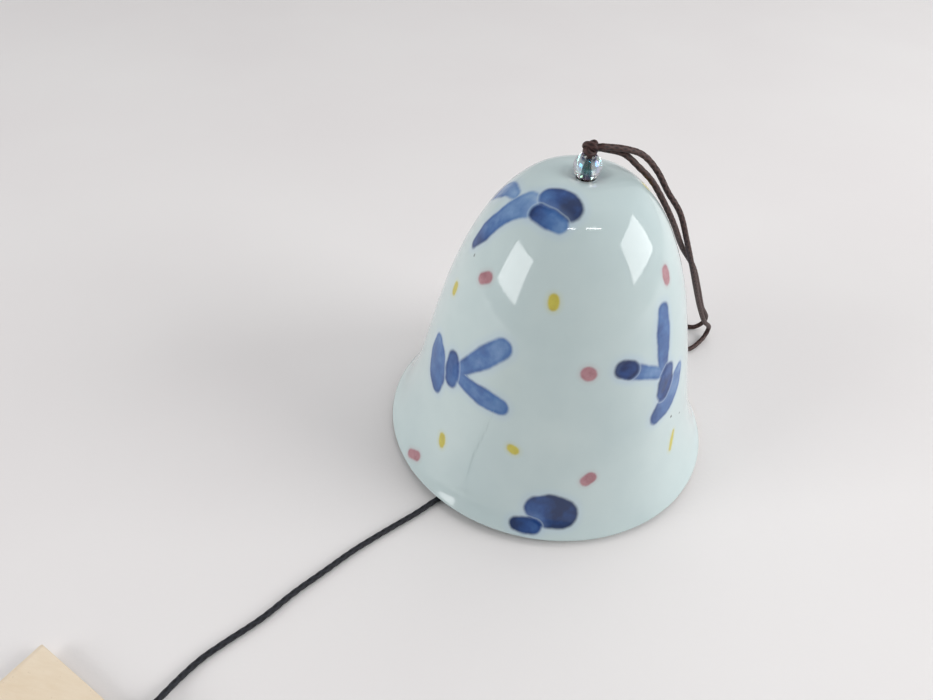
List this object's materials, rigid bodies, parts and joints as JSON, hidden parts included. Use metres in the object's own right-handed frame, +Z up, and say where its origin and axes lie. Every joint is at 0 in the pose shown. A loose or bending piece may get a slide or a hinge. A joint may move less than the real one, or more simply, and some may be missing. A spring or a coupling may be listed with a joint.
{
  "type": "wind bell",
  "caption": "Porcelain wind bell with a flared lip, standing on its mouth, with a hanging loop, a crown bead, a swinging clapper and a wind cord to a paper strip.",
  "frame": {"origin": "on the table, under the middle of the bell's mouth", "axes": "+Z up from the table; -Y is the front, towards a person looking at the bell; the clapper's cord leaves under the lip at the front left and the paper strip lies at -X -Y; the hanging loop lies at +X +Y. The bell's own axis leans 1.19 degrees from +Z towards +X +Y, because the rim stands on the cord at the front left."},
  "size_m": [0.2064, 0.3116, 0.0876],
  "materials": {
    "porcelain_glaze": "glossy pale blue-green glaze with brush-painted blue, pink and yellow marks",
    "clapper_glaze": "plain glossy glaze",
    "bead_glass": "clear with an iridescent coat",
    "brown_cord": "waxed dark brown braid",
    "black_cord": "matt black braid",
    "washer_plastic": "frosted",
    "strip_card": "uncoated cream card"
  },
  "bodies": {
    "bell": {"bell_shell": "porcelain_glaze", "hanger_knot": "brown_cord", "hanger_loop": "brown_cord", "hanger_stem": "brown_cord", "inner_washer": "washer_plastic", "inner_knot": "brown_cord", "wind_cord": "black_cord"},
    "bead": {"crown_bead": "bead_glass"},
    "clapper_hitch": {"clapper_cord_knot": "black_cord"},
    "clapper": {"clapper_cord": "black_cord", "clapper": "clapper_glaze", "clapper_knot": "black_cord"},
    "strip": {"tanzaku": "strip_card", "tanzaku_loop": "black_cord", "tanzaku_knot": "black_cord"}
  },
  "joints": [
    {"name": "bead_spin", "type": "hinge", "parent": "bell", "child": "bead", "pos_m": [0.00091, 0.0014, 0.0813], "axis": [0.0113, 0.0174, 0.9998], "continuous": true},
    {"name": "clapper_turn", "type": "hinge", "parent": "bell", "child": "clapper_hitch", "pos_m": [0.00077, 0.00119, 0.06922], "axis": [0, 0, 1], "continuous": true},
    {"name": "clapper_swing", "type": "hinge", "parent": "clapper_hitch", "child": "clapper", "pos_m": [0.00077, 0.00119, 0.06922], "axis": [1, 0, 0], "range_deg": [-31, 31], "deforming": ["wind_cord"]},
    {"name": "strip_swivel", "type": "hinge", "parent": "bell", "child": "strip", "pos_m": [-0.0711, -0.1031, 0.0021], "axis": [0, 0, 1], "range_deg": [-60, 60]}
  ]
}
